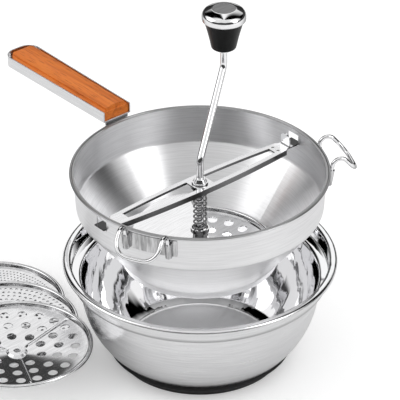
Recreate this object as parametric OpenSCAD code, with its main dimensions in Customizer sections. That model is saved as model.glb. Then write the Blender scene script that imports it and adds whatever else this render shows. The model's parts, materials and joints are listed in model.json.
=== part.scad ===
/* [Receiving bowl] */
// Height of the bowl from the table to the top of its rim
bowl_height = 96; // [80:1:120]
// Radius of the bowl's inner wall just below the rim
bowl_mouth_radius = 110.5; // [100:0.5:125]
// How far the bowl's rolled rim stands out from that wall
bowl_rim_width = 6; // [4:0.5:10]
// Depth of the stacking step below the rim
bowl_step_depth = 16; // [8:1:24]
// Wall thickness of the pressed steel parts
sheet = 1; // [0.6:0.1:1.6]
// Height of the silicone base
base_height = 12; // [6:1:20]
// Radius of the silicone base where it touches the table
base_radius = 72; // [60:1:85]

/* [Hopper] */
// How much smaller the hopper's rolled rim is than the bowl's mouth, in radius
hopper_inset = 0.5; // [0.5:0.5:4]
// Height of the hopper from its bottom lip to its rim
hopper_height = 86; // [70:1:110]
// Height of the straight band below the rim
band_height = 33; // [20:1:45]
// Radius lost by the band over its height
band_taper = 2; // [0:0.5:5]
// Radius of the hopper's bottom lip, outside
lip_radius = 67; // [55:0.5:80]
// Height of the bottom lip
lip_height = 5; // [3:0.5:10]
// Width of the turned-in hem that carries the disc
ledge_width = 6.2; // [5.5:0.1:7]
// Height of that hem's inner edge above the hopper's bottom
ledge_rise = 6.5; // [4:0.5:8]
// Height of the lifted mill above its seat on the bowl's step
mill_raise = 65; // [0:1:120]

/* [Grating discs] */
// Outer radius of every disc
disc_radius = 65.2; // [55:0.1:80]
// Height of the disc's raised lip above its sheet
disc_lip = 4; // [2:0.5:8]
// Depth of the disc's dish, from its rim down to its boss
disc_dish = 6.5; // [4:0.5:8]
// Diameter of the coarse holes
coarse_hole = 8.4; // [5:0.1:9]
// Diameter of the medium holes
medium_hole = 3.4; // [2:0.1:5]
// Diameter of the fine holes
fine_hole = 2; // [1:0.1:3]
// Distance between the centres of two neighbouring stacked discs
stack_shift = 50; // [30:1:60]
// How far outside the bowl's mouth the loose discs' centres lie
stack_reach = 51.5; // [49.5:0.5:90]

/* [Handle] */
// Length of the wooden grip
grip_length = 134; // [100:1:160]
// Width of the wooden grip at the hopper
grip_width = 27; // [22:0.5:34]
// Width of the wooden grip at its far end
grip_end_width = 30; // [22:0.5:38]
// Height of the wooden grip
grip_height = 12; // [8:0.5:18]
// Height of the steel tray's side walls
tray_height = 9.5; // [5:0.5:10]

/* [Hooks] */
// Angle between each hook and the handle
hook_angle = 116; // [100:1:130]
// Diameter of the hook wire
hook_wire = 3.5; // [2.5:0.1:5]
// Distance between the two legs of a hook
hook_spacing = 38; // [26:1:46]
// Radius of the arch over the rim
hook_arch = 7; // [5:0.5:12]
// Reach of the hook from the band, measured to the wire's centre
hook_reach = 23.5; // [18:0.5:35]
// Width of the plate that holds a hook
plate_width = 50; // [40:1:60]

/* [Locking bar] */
// Depth of the bar's top below the hopper rim
bar_depth = 12.5; // [8:0.5:20]
// Width of the bar at the crank
bar_width = 24; // [16:1:34]
// Width of the bar at its ends
bar_end_width = 15; // [10:1:20]
// Height of the bar's turned-down edges
bar_flange = 5; // [3:0.5:8]
// Width of each of the bar's two rails
rail_width = 4.5; // [3:0.5:7]

/* [Crank] */
// Diameter of the crank rod
rod_diameter = 6; // [5:0.5:8]
// Height above the rim at which the rod starts to lean out
rod_low_bend = 9; // [4:1:20]
// Height above the rim at which the rod is upright again
rod_high_bend = 70; // [40:1:76]
// Sideways reach of the crank
crank_reach = 57; // [40:1:75]
// Direction of the crank, from the locking bar
crank_angle = 29; // [-180:1:180]
// Outer diameter of the spring
spring_diameter = 12; // [10:0.5:16]
// Number of turns of the spring
spring_turns = 8; // [5:1:12]
// Upward travel of the blade against its spring
float_travel = 5; // [2:0.5:8]

/* [Blade] */
// Radius swept by the blade
blade_radius = 58; // [45:1:62]
// Slope of the blade, in degrees
blade_slope = 9; // [5:0.5:16]
// Direction of the blade's low edge, from the crank
blade_turn = -145; // [-180:5:180]

/* [Knob] */
// Diameter of the knob's cap
knob_cap_diameter = 37.5; // [28:0.5:45]
// Height of the knob's black body
knob_body_height = 26; // [20:1:36]
// Diameter of the black body at its foot
knob_foot_diameter = 21.5; // [14:0.5:30]
// Height of the knob's foot above the rim
knob_foot_height = 88; // [78:1:105]

/* [Hidden] */
$fa = 4;
$fs = 0.8;
running = 0.06;
seat = 0.3;
lap = 0.05;
rod_radius = rod_diameter / 2;
bowl_rim_radius = bowl_mouth_radius + bowl_rim_width;
hopper_rim_radius = bowl_mouth_radius - hopper_inset;
rim_roll = 1.2;
bowl_seat_z = bowl_height - bowl_step_depth;
bowl_floor_z = 3;
bowl_wall_radius = bowl_mouth_radius - 8;
bowl_curve = bowl_height - 16;
silicone_wall = 2.4;
band_radius = hopper_rim_radius - 3;
shoulder_radius = band_radius - band_taper;
step_round = 2.6;
shoulder_round = 6;
step_centre = [bowl_wall_radius + step_round, bowl_seat_z - 3];
shoulder_centre = [shoulder_radius - shoulder_round, 2.2 - band_height];
cone_foot = [lip_radius + 1.2, lip_height + 1.4 - hopper_height];
cone_run = cone_foot - shoulder_centre;
cone_facing = atan2(cone_run.y, cone_run.x) + acos(shoulder_round / norm(cone_run));
touching = step_round + sheet + seat;
seated_rim_z = step_centre.y - cone_foot.y
    + ((step_centre.x - cone_foot.x) * cos(cone_facing) - touching) / sin(cone_facing);
rim_z = seated_rim_z + mill_raise;
hopper_foot_z = rim_z - hopper_height;
disc_z = hopper_foot_z + ledge_rise + 0.1;
sheet_disc = 0.9;
boss_radius = 9;
boss_rise = 1.6;
rib_width = 4.4;
rib_rise = 0.8;
dish_radius = disc_radius - 5.4;
dish_slope = atan(disc_dish / (dish_radius - boss_radius));
disc_bore = rod_radius + running;
disc_top_z = disc_z + sheet_disc;
bar_z = rim_z - bar_depth;
bar_sheet = 1.2;
bar_half = band_radius - 15;
blade_sheet = 1.2;
blade_low = rib_rise + seat;
blade_rise = blade_radius * tan(blade_slope);
hub_radius = 6;
hub_height = 11;
hub_z = disc_top_z + blade_low + blade_rise - 3;
cup_radius = 8;
cup_z = hub_z + hub_height + 0.1;
cup_sheet = 1;
washer_radius = 8;
washer_sheet = 1;
washer_z = bar_z - bar_sheet - 2.2;
spring_wire = 1.5;
spring_low_z = cup_z + cup_sheet;
spring_top_z = washer_z - washer_sheet;
knob_bore = rod_radius + running;
stack_distance = bowl_mouth_radius + stack_reach;
stack_step_z = disc_dish + disc_lip + sheet_disc + seat;
knob_foot_z = rim_z + knob_foot_height;
knob_cap_z = knob_foot_z + knob_body_height;
knob_cap_rise = 10.8;
inlay_radius = 9.5;
hook_tilt = 10;
hook_slope = 50;
hook_corner = 13;
plate_depth = seated_rim_z - bowl_height - 0.7;
leg_length = (plate_depth - 1.5) / cos(hook_tilt) - 1;
leg_clear = hopper_rim_radius + hook_wire / 2 + seat;
leg_top = [sqrt(leg_clear * leg_clear - hook_spacing * hook_spacing / 4), rim_z - 1.5];
arch_centre = leg_top + hook_arch * [cos(hook_tilt), -sin(hook_tilt)];
arch_end = arch_centre + hook_arch * [sin(hook_slope), cos(hook_slope)];
tray_rise = 2;
tray_z = rim_z + tray_rise + 0.2;
tray_start = hopper_rim_radius + 0.1;
grip_start = tray_start + 1.5;
tray_length = grip_length + 8;
grip_z = tray_z + sheet + 0.1;
grip_crown = 34;
grip_edge = 3.5;
grip_flare = atan((grip_end_width - grip_width) / 2 / grip_length);
screw_hole = grip_height - 3;
screw_length = screw_hole - 0.4;
screw_places = [grip_start + grip_length / 5, grip_start + grip_length * 3 / 4];
steel = [0.80, 0.81, 0.82];
bright_steel = [0.88, 0.88, 0.89];
dark_steel = [0.55, 0.56, 0.58];
black = [0.05, 0.05, 0.05];
timber = [0.62, 0.28, 0.10];

// Points of an arc with centre c and radius r, from angle a to angle b
function arc(c, r, a, b, n = 8) =
    [for (i = [0 : n]) c + r * [cos(a + (b - a) * i / n), sin(a + (b - a) * i / n)]];

// Unit normal to the left of the way from p to q
function left_of(p, q) = [p.y - q.y, q.x - p.x] / norm(q - p);

// Normal at point i of a path, halfway between its two sides
function path_normal(path, i) =
    let (n = len(path),
         before = left_of(path[max(i - 1, 0)], path[max(i, 1)]),
         after = left_of(path[min(i, n - 2)], path[min(i + 1, n - 1)]),
         both = before + after)
    both / (both * both) * 2;

// Outline of a sheet of thickness t whose one face follows the path
function sheet_outline(path, t) =
    concat(path, [for (i = [len(path) - 1 : -1 : 0]) path[i] + t * path_normal(path, i)]);

// Radius of the band's outer face at a depth below the rim
function band_at(depth) = band_radius - band_taper * depth / band_height;

// Half width of the locking bar's outline at a place along it
function bar_half_width(x) =
    bar_end_width / 2 + (bar_width - bar_end_width) / 2 * (1 - pow(x / bar_half, 2));

// Outer face of the bowl from the floor's centre to the mouth
function bowl_path() = concat(
    [[0, bowl_floor_z]],
    arc([base_radius - 12, bowl_floor_z + 10], 10, -90, -60, 3),
    arc([bowl_wall_radius - bowl_curve, bowl_height - 26], bowl_curve, -53, -2, 14),
    arc(step_centre, step_round, 180, 96, 5),
    arc([bowl_mouth_radius - 2.4 + sheet, bowl_seat_z + 2.4], 2.4, -86, -4, 4),
    [[bowl_mouth_radius + sheet, bowl_height - 6]]);

module receiving_bowl() {
    color(bright_steel)
        rotate_extrude()
            polygon(sheet_outline(bowl_path(), sheet));
    color(bright_steel)
        rotate_extrude()
            polygon(sheet_outline(concat(
                [[bowl_mouth_radius + sheet, bowl_height - 6.5]],
                arc([bowl_mouth_radius + 2.6, bowl_height - 2.6], 2.6 - sheet, 175, 90, 4),
                arc([bowl_rim_radius - 2, bowl_height - 2 - sheet], 2, 90, -20, 5)), sheet));
}

module silicone_base() {
    color(black)
        difference() {
            rotate_extrude()
                polygon(concat(
                    [[0, 0]],
                    arc([base_radius - 2, 2], 2, -90, -30, 4),
                    [[base_radius + 5.4, base_height - 3]],
                    arc([base_radius + 6, base_height - 1.6], 1.6, -20, 90, 4),
                    [[base_radius + 2, base_height + 4], [0, base_height + 4]]));
            rotate_extrude()
                polygon(concat(
                    [for (p = bowl_path()) p + [0, -0.05]],
                    [[0, bowl_height]]));
        }
}

// Outer face of the hopper from the ledge up to the rim, as depth below the rim
function hopper_path() = concat(
    [[lip_radius - ledge_width - sheet, ledge_rise - hopper_height]],
    arc([lip_radius - ledge_width - sheet + 1.2, 1.2 - hopper_height], 1.2, 180, 270, 3),
    arc([lip_radius - 1.2, -hopper_height + 1.2], 1.2, -90, 0, 3),
    [[lip_radius, -hopper_height + lip_height]],
    [cone_foot],
    arc(shoulder_centre, shoulder_round, cone_facing, 0, 5),
    [[band_at(0), -rim_roll]]);

module wall_slot(side) {
    translate([side * band_radius, 0, bar_z + 2.7])
        cube([12, bar_end_width - 3 + 0.6, 10.4], center = true);
}

module hopper() {
    color(steel)
        difference() {
            translate([0, 0, rim_z])
                rotate_extrude()
                    union() {
                        polygon(sheet_outline(hopper_path(), sheet));
                        translate([hopper_rim_radius - rim_roll, -rim_roll])
                            circle(r = rim_roll);
                        translate([band_radius - sheet, -1.6 * rim_roll])
                            square([2.4, rim_roll]);
                    }
            wall_slot(-1);
            wall_slot(1);
        }
}

// True where a hole would meet one of the three embossed ribs
function on_rib(r, a, hole) =
    min([for (k = [0 : 2]) let (b = a - 120 * k - 30) abs(r * sin(b)) + (cos(b) > 0 ? 0 : 999)])
        < hole / 2 + 2.6;

// Number of holes on a ring of radius r with the given spacing
function ring_count(r, spacing) = 3 * round(2 * PI * r / spacing / 3);

// Rings of holes on circles that lie row_gap apart
module hole_rings(hole, row_gap, spacing, first, last, sides) {
    for (r = [first : row_gap : last])
        for (i = [0 : ring_count(r, spacing) - 1]) {
            angle = 360 * (i + 0.5) / ring_count(r, spacing) + 30;
            if (!on_rib(r, angle, hole))
                rotate(angle)
                    translate([r, 0])
                        circle(d = hole, $fn = sides);
        }
}

// Underside of a disc: boss, dish, and the lip that is folded over at the rim
function disc_path() = concat(
    [[disc_bore, boss_rise], [boss_radius - 2.6, boss_rise], [boss_radius - 0.8, 0], [boss_radius + 0.6, 0.05],
        [dish_radius, disc_dish - 0.02]],
    arc([disc_radius - 4.2, disc_dish + 1.2], 1.2, -80, -15, 3),
    arc([disc_radius - 1.9, disc_dish + disc_lip - 1.1], 1, 165, 10, 6),
    [[disc_radius - sheet_disc, disc_dish + disc_lip - 2.2]]);

// A disc with three ribs that run up its dish
module disc(hole, row_gap, spacing, first, last, sides) {
    color(bright_steel)
        difference() {
            union() {
                rotate_extrude()
                    polygon(sheet_outline(disc_path(), sheet_disc));
                for (k = [0 : 2])
                    rotate(30 + 120 * k)
                        translate([boss_radius, 0, 0])
                            rotate([0, -dish_slope, 0])
                                translate([1.5, 0, 0])
                                    rotate([90, 0, 90])
                                        linear_extrude(dish_radius - boss_radius - 4)
                                            polygon([[-rib_width / 2, 0.3], [rib_width / 2, 0.3],
                                                [rib_width / 4, sheet_disc + rib_rise],
                                                [-rib_width / 4, sheet_disc + rib_rise]]);
            }
            translate([0, 0, -1])
                linear_extrude(disc_dish + 5)
                    hole_rings(hole, row_gap, spacing, first, last, sides);
        }
}

module coarse_disc() {
    disc(coarse_hole, 14, 13, 22, 51, 24);
}

module medium_disc() {
    disc(medium_hole, 7, 7.4, 15, 57, 8);
}

module fine_disc() {
    disc(fine_hole, 5.4, 5.7, 14, 57, 6);
}

module fitted_disc() {
    translate([0, 0, disc_z - disc_dish])
        rotate(15)
            coarse_disc();
}

// Round bend of a wire, starting upright at the origin and leaning towards +X
module bend(radius, angle, wire) {
    translate([radius, 0, 0])
        rotate([90, 0, 180])
            rotate_extrude(angle = angle)
                translate([radius, 0])
                    circle(d = wire - 0.02);
}

module place_hook(side) {
    rotate(90 - side * hook_angle)
        children();
}

module at_leg(s) {
    translate([leg_top.x, s * hook_spacing / 2, leg_top.y])
        rotate([0, hook_tilt, 0])
            children();
}

// Wire of one hook: two legs, two arches over the rim, and a round end
module hook_wire_shape() {
    run = (hopper_rim_radius + hook_reach - arch_end.x) / cos(hook_slope);
    for (s = [-1, 1])
        at_leg(s) {
            translate([0, 0, -leg_length])
                cylinder(h = leg_length + lap, d = hook_wire);
            bend(hook_arch, 90 + hook_slope - hook_tilt, hook_wire);
        }
    translate([arch_end.x, 0, arch_end.y])
        rotate([0, hook_slope, 0]) {
            for (s = [-1, 1])
                translate([0, s * hook_spacing / 2, 0])
                    rotate([0, 90, 0]) {
                        translate([0, 0, -lap])
                            cylinder(h = run - hook_corner + 2 * lap, d = hook_wire);
                        translate([0, 0, run - hook_corner])
                            rotate([0, 0, -s * 90])
                                bend(hook_corner, 90, hook_wire);
                    }
            translate([run, hook_spacing / 2 - hook_corner + lap, 0])
                rotate([90, 0, 0])
                    cylinder(h = hook_spacing - 2 * hook_corner + 2 * lap, d = hook_wire);
        }
}

// Plate of one hook: a curved strip with a raised channel over each leg
module hook_plate_shape() {
    half_angle = asin(plate_width / 2 / band_radius);
    difference() {
        union() {
            translate([0, 0, rim_z])
                rotate([0, 0, -half_angle])
                    rotate_extrude(angle = 2 * half_angle)
                        polygon([[band_at(4) + 0.1, -4], [band_at(4) + 1.1, -4],
                            [band_at(plate_depth) + 1.1, -plate_depth],
                            [band_at(plate_depth) + 0.1, -plate_depth]]);
            for (s = [-1, 1])
                at_leg(s)
                    translate([0, 0, -leg_length - 1]) {
                        cylinder(h = leg_length - 3, r = hook_wire / 2 + 1);
                        translate([-5, -hook_wire / 2 - 1, 0])
                            cube([5, hook_wire + 2, leg_length - 3]);
                    }
        }
        translate([0, 0, rim_z])
            rotate_extrude()
                polygon([[0, -34], [band_at(34) + 0.1, -34], [band_at(0) + 0.1, 0], [0, 0]]);
        for (s = [-1, 1])
            at_leg(s)
                translate([0, 0, -leg_length - 0.1])
                    cylinder(h = leg_length + 6, d = hook_wire + 0.1);
    }
}

module hook_plate_left() {
    color(bright_steel)
        place_hook(-1)
            hook_plate_shape();
}

module hook_plate_right() {
    color(bright_steel)
        place_hook(1)
            hook_plate_shape();
}

module hook_wire_left() {
    color(bright_steel)
        place_hook(-1)
            hook_wire_shape();
}

module hook_wire_right() {
    color(bright_steel)
        place_hook(1)
            hook_wire_shape();
}

// Angle bracket welded to the band and to the underside of the tray
module handle_bracket() {
    half_angle = asin(12 / band_radius);
    outer = hopper_rim_radius + 0.4;
    color(steel) {
        translate([0, 0, rim_z])
            rotate([0, 0, 90 - half_angle])
                rotate_extrude(angle = 2 * half_angle)
                    polygon([[band_at(4) + 0.1, -4.2], [band_at(4) + 1.4, -4.2],
                        [band_at(26) + 1.4, -26], [band_at(26) + 0.1, -26]]);
        translate([0, 0, rim_z])
            rotate([90, 0, 90])
                linear_extrude(24, center = true)
                    polygon([[band_radius + 0.2, -3.8], [band_radius + 0.2, -5.3],
                        [outer + 1.5, -5.3], [outer + 1.5, tray_rise - 1.4],
                        [outer + 20, tray_rise - 1.4], [outer + 20, tray_rise + 0.1],
                        [outer, tray_rise + 0.1], [outer, -3.8]]);
    }
}

// Plan outline of the grip or its tray, wider and round at the far end
module handle_plan(start, length, spare, round) {
    near = grip_width / 2 + spare;
    far = grip_end_width / 2 + spare;
    polygon([[-near, start], [near, start], [far, start + length - round], [far - round, start + length],
        [round - far, start + length], [-far, start + length - round]]);
    for (s = [-1, 1])
        translate([s * (far - round), start + length - round])
            circle(r = round);
}

module handle_tray() {
    color(bright_steel)
        difference() {
            translate([0, 0, tray_z])
                linear_extrude(tray_height)
                    handle_plan(tray_start, tray_length, sheet + 0.2, 12);
            translate([0, 0, tray_z + sheet])
                linear_extrude(tray_height)
                    handle_plan(tray_start - 1, tray_length + 1 - sheet, 0.2, 12 - sheet);
            for (y = screw_places)
                translate([0, y, tray_z - 1])
                    cylinder(h = 4, r = 2.1);
        }
}

// Cross-section of one side of the grip, with its rounded upper edge
module grip_side() {
    half = grip_width / 2;
    translate([-2 * half, 0])
        square([3 * half, grip_height - 3 - grip_edge]);
    translate([-2 * half, 0])
        square([3 * half - grip_edge, grip_height]);
    translate([half - grip_edge, grip_height - 3 - grip_edge])
        circle(r = grip_edge);
}

// Lengthwise section of the grip
module grip_elevation() {
    translate([grip_start, 0])
        square([grip_length, grip_height - 5]);
    translate([grip_start + 1, 0])
        square([grip_length - 6, grip_height + 1]);
    translate([grip_start + grip_length - 5, grip_height - 5])
        circle(r = 5);
    translate([grip_start + 1, grip_height - 5])
        circle(r = 1);
}

module wood_grip() {
    color(timber)
        difference() {
            intersection() {
                translate([0, 0, grip_z])
                    linear_extrude(grip_height + 1)
                        handle_plan(grip_start, grip_length, 0, 11);
                translate([0, 0, grip_z])
                    rotate([90, 0, 90])
                        linear_extrude(2 * grip_end_width, center = true)
                            grip_elevation();
                translate([0, grip_start + grip_length, grip_z + grip_height - grip_crown])
                    rotate([90, 0, 0])
                        cylinder(h = grip_length, r = grip_crown);
                intersection_for(s = [0, 1])
                    mirror([s, 0, 0])
                        translate([0, grip_start, grip_z])
                            rotate([90, 0, 180 - grip_flare])
                                translate([0, 0, -1])
                                    linear_extrude(grip_length + 5)
                                        mirror([1, 0])
                                            grip_side();
            }
            for (y = screw_places)
                translate([0, y, tray_z])
                    cylinder(h = screw_hole, r = 1.85);
        }
}

module grip_screws() {
    color(dark_steel)
        for (y = screw_places) {
            translate([0, y, tray_z - 0.1])
                cylinder(h = screw_length, r = 1.8);
            translate([0, y, tray_z - 0.1 - 2])
                difference() {
                    cylinder(h = 2, r1 = 2.6, r2 = 3.6);
                    translate([0, 0, 0.4])
                        cube([6, 0.8, 1.2], center = true);
                    translate([0, 0, 0.4])
                        cube([0.8, 6, 1.2], center = true);
                }
        }
}

// Long outline of the bar, narrowed by an inset
module bar_plan(inset) {
    steps = 16;
    xs = [for (i = [-steps : steps]) bar_half * i / steps];
    polygon(concat(
        [for (x = xs) [x, -bar_half_width(x) + inset]],
        [for (i = [len(xs) - 1 : -1 : 0]) [xs[i], bar_half_width(xs[i]) - inset]]));
}

module locking_bar() {
    color(bright_steel)
        difference() {
            union() {
                translate([0, 0, bar_z - bar_sheet])
                    linear_extrude(bar_sheet)
                        difference() {
                            bar_plan(0);
                            difference() {
                                bar_plan(rail_width);
                                square([18, bar_width], center = true);
                                for (s = [-1, 1])
                                    translate([s * bar_half, 0])
                                        square([22, bar_width], center = true);
                            }
                        }
                translate([0, 0, bar_z - bar_flange])
                    linear_extrude(bar_flange - 0.2)
                        difference() {
                            bar_plan(0);
                            bar_plan(1.2);
                            for (s = [-1, 1])
                                translate([s * bar_half, 0])
                                    square([1, bar_width], center = true);
                        }
                for (s = [-1, 1])
                    translate([s * (bar_half + 8), 0, bar_z - bar_sheet / 2])
                        cube([18, bar_end_width - 3, bar_sheet], center = true);
                translate([bar_half + 4, 0, bar_z])
                    rotate([90, 0, 90])
                        linear_extrude(bar_sheet)
                            union() {
                                translate([-5.5, -0.5])
                                    square([11, 6]);
                                translate([0, 5.5])
                                    circle(r = 5.5);
                            }
            }
            translate([0, 0, bar_z - 6])
                cylinder(h = 8, r = 5.05);
            for (s = [-1, 1])
                translate([bar_half - 7, s * 3.4, bar_z])
                    cylinder(h = 1, r = 1.3, center = true);
        }
}

// Flanged bearing that the rod turns in
module bar_bushing() {
    color(dark_steel)
        difference() {
            union() {
                translate([0, 0, bar_z + 0.05])
                    cylinder(h = 1.5, r = 7);
                translate([0, 0, bar_z + 1.5])
                    cylinder(h = 3, r1 = 6, r2 = 4.6);
                translate([0, 0, bar_z - bar_sheet - 2])
                    cylinder(h = bar_sheet + 2.5, r = 5);
            }
            translate([0, 0, bar_z - 10])
                cylinder(h = 20, r = rod_radius + running);
        }
}

module spring_washer() {
    color(bright_steel)
        translate([0, 0, washer_z - washer_sheet])
            difference() {
                cylinder(h = washer_sheet, r = washer_radius);
                translate([0, 0, -1])
                    cylinder(h = 4, r = rod_radius + running);
            }
}

// Wound spring: a small ring of points carried round and up the helix
module spring() {
    sides = 8;
    per_turn = 20;
    steps = spring_turns * per_turn;
    mean_radius = (spring_diameter - spring_wire) / 2;
    low = spring_low_z + spring_wire / 2 + 0.1;
    high = spring_top_z - spring_wire / 2 - 0.1;
    points = [for (i = [0 : steps]) for (k = [0 : sides - 1])
        let (a = 360 * i / per_turn, b = 360 * k / sides, r = mean_radius + spring_wire / 2 * cos(b))
        [r * cos(a), r * sin(a), low + (high - low) * i / steps + spring_wire / 2 * sin(b)]];
    walls = [for (i = [0 : steps - 1]) for (k = [0 : sides - 1])
        let (m = (k + 1) % sides)
        [i * sides + k, (i + 1) * sides + k, (i + 1) * sides + m, i * sides + m]];
    ends = [[for (k = [0 : sides - 1]) k], [for (k = [sides - 1 : -1 : 0]) steps * sides + k]];
    color(bright_steel)
        polyhedron(points, concat(walls, ends));
}

module spring_cup() {
    color(bright_steel)
        translate([0, 0, cup_z])
            difference() {
                union() {
                    cylinder(h = cup_sheet, r = cup_radius);
                    difference() {
                        cylinder(h = 3.4, r = cup_radius);
                        cylinder(h = 5, r = cup_radius - 1);
                    }
                }
                translate([0, 0, -1])
                    cylinder(h = 4, r = rod_radius + running);
            }
}

// Bent rod: straight through the mill, leaning out, and upright again under the knob
module crank_rod() {
    round = 12;
    rise = rod_high_bend - rod_low_bend;
    lean = atan2(crank_reach, rise);
    cut = round * tan(lean / 2);
    slant = norm([crank_reach, rise]) - 2 * cut;
    foot = disc_top_z - disc_dish + boss_rise - float_travel - 1.2;
    shoulder = rim_z + rod_low_bend - cut;
    color(bright_steel)
        rotate(crank_angle) {
            difference() {
                translate([0, 0, foot])
                    cylinder(h = shoulder - foot + lap, r = rod_radius);
                translate([-rod_radius - 1, 0, hub_z + hub_height - 3])
                    rotate([0, 90, 0])
                        cylinder(h = rod_diameter + 2, r = 1.05);
            }
            translate([0, 0, shoulder])
                bend(round, lean, rod_diameter);
            translate([round * (1 - cos(lean)), 0, shoulder + round * sin(lean)])
                rotate([0, lean, 0])
                    translate([0, 0, -lap])
                        cylinder(h = slant + 2 * lap, r = rod_radius);
            translate([crank_reach, 0, rim_z + rod_high_bend + cut])
                rotate([180, 0, 180])
                    bend(round, lean, rod_diameter);
            translate([crank_reach, 0, rim_z + rod_high_bend + cut - lap])
                cylinder(h = knob_cap_z - 4 - rim_z - rod_high_bend - cut + lap, r = rod_radius);
        }
}

// Half-round plate that rises from the disc on one side of the rod to the other
module blade() {
    color(bright_steel)
        rotate(crank_angle + blade_turn)
            difference() {
                intersection() {
                    union() {
                        translate([0, 0, disc_top_z + blade_low + blade_rise])
                            rotate([0, blade_slope, 0])
                                translate([-blade_radius * 1.1, -blade_radius, 0])
                                    cube([blade_radius * 2.2, blade_radius + 7.5, blade_sheet]);
                        translate([0, 0, disc_top_z + blade_low + blade_rise])
                            rotate([0, blade_slope, 0])
                                translate([-blade_radius * 1.1, 7.5, 0])
                                    cube([blade_radius, blade_sheet, 6]);
                    }
                    translate([0, 0, disc_top_z + blade_low])
                        union() {
                            cylinder(h = 60, r = blade_radius - 16);
                            intersection() {
                                cylinder(h = 60, r = blade_radius);
                                translate([-blade_radius, -blade_radius, 0])
                                    cube([2 * blade_radius, blade_radius + 4, 60]);
                            }
                        }
                }
                translate([0, 0, disc_z])
                    cylinder(h = 60, r = hub_radius + 0.1);
            }
}

module blade_hub() {
    color(steel)
        translate([0, 0, hub_z])
            difference() {
                cylinder(h = hub_height, r = hub_radius);
                translate([0, 0, -1])
                    cylinder(h = hub_height + 2, r = rod_radius + 0.05);
                rotate([0, 0, crank_angle])
                    translate([-hub_radius - 2, 0, hub_height - 3])
                        rotate([0, 90, 0])
                            cylinder(h = 2 * hub_radius + 4, r = 1.05);
            }
}

module hub_pin() {
    color(dark_steel)
        rotate([0, 0, crank_angle])
            translate([-hub_radius - 0.6, 0, hub_z + hub_height - 3])
                rotate([0, 90, 0])
                    cylinder(h = 2 * hub_radius + 1.2, r = 1);
}

module at_knob() {
    rotate(crank_angle)
        translate([crank_reach, 0, 0])
            children();
}

// Washer riveted to the rod under the knob
module knob_collar() {
    color(steel)
        at_knob()
            translate([0, 0, knob_foot_z - 2.3])
                difference() {
                    cylinder(h = 2, r = 6.5);
                    translate([0, 0, -1])
                        cylinder(h = 4, r = rod_radius + 0.03);
                }
}

module knob_body() {
    foot = knob_foot_diameter / 2;
    top = knob_cap_diameter / 2 - 1.8;
    color(black)
        at_knob()
            translate([0, 0, knob_foot_z])
                difference() {
                    rotate_extrude()
                        polygon(concat(
                            [[0, 0]],
                            arc([foot - 1.5, 1.5], 1.5, -90, 0, 4),
                            [for (i = [1 : 9]) let (t = i / 10)
                                [foot + (top - foot) * pow(t, 1.25), 1.5 + (knob_body_height - 1.5) * t]],
                            [[top, knob_body_height], [0, knob_body_height]]));
                    translate([0, 0, -1])
                        cylinder(h = knob_body_height - 2, r = knob_bore);
                }
}

module knob_cap() {
    radius = knob_cap_diameter / 2;
    color(bright_steel)
        at_knob()
            translate([0, 0, knob_cap_z + 0.05])
                difference() {
                    rotate_extrude()
                        polygon(concat(
                            [[0, 0], [radius - 1.2, 0]],
                            arc([radius - 1.2, 1.2], 1.2, -80, 0, 3),
                            arc([radius - 6, 3.6], 6, 0, 55, 5),
                            [[inlay_radius + 1, knob_cap_rise], [0, knob_cap_rise]]));
                    translate([0, 0, knob_cap_rise - 1])
                        cylinder(h = 4, r = inlay_radius + 0.1);
                }
}

module knob_inlay() {
    color(dark_steel)
        at_knob()
            translate([0, 0, knob_cap_z + knob_cap_rise - 0.9])
                cylinder(h = 1.1, r = inlay_radius);
}

// The loose discs lie on one another beside the bowl, each shifted from the one below
module stacked(level) {
    down = 2 - level;
    rotate(154.5)
        translate([stack_distance, 0, stack_step_z * level])
            rotate(-15)
                translate([0.28 * stack_shift * down, -stack_shift * down, 0])
                    children();
}

module spare_disc_fine() {
    stacked(0)
        rotate(10)
            fine_disc();
}

module spare_disc_medium() {
    stacked(1)
        rotate(40)
            medium_disc();
}

module spare_disc_coarse() {
    stacked(2)
        rotate(75)
            coarse_disc();
}

receiving_bowl();
silicone_base();
hopper();
fitted_disc();
hook_plate_left();
hook_plate_right();
hook_wire_left();
hook_wire_right();
handle_bracket();
handle_tray();
wood_grip();
grip_screws();
locking_bar();
bar_bushing();
spring_washer();
spring();
spring_cup();
crank_rod();
blade();
blade_hub();
hub_pin();
knob_collar();
knob_body();
knob_cap();
knob_inlay();
spare_disc_fine();
spare_disc_medium();
spare_disc_coarse();
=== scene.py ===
import json
import math
import bpy
import bmesh
import numpy as np
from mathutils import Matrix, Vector
from mathutils.geometry import delaunay_2d_cdt

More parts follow.
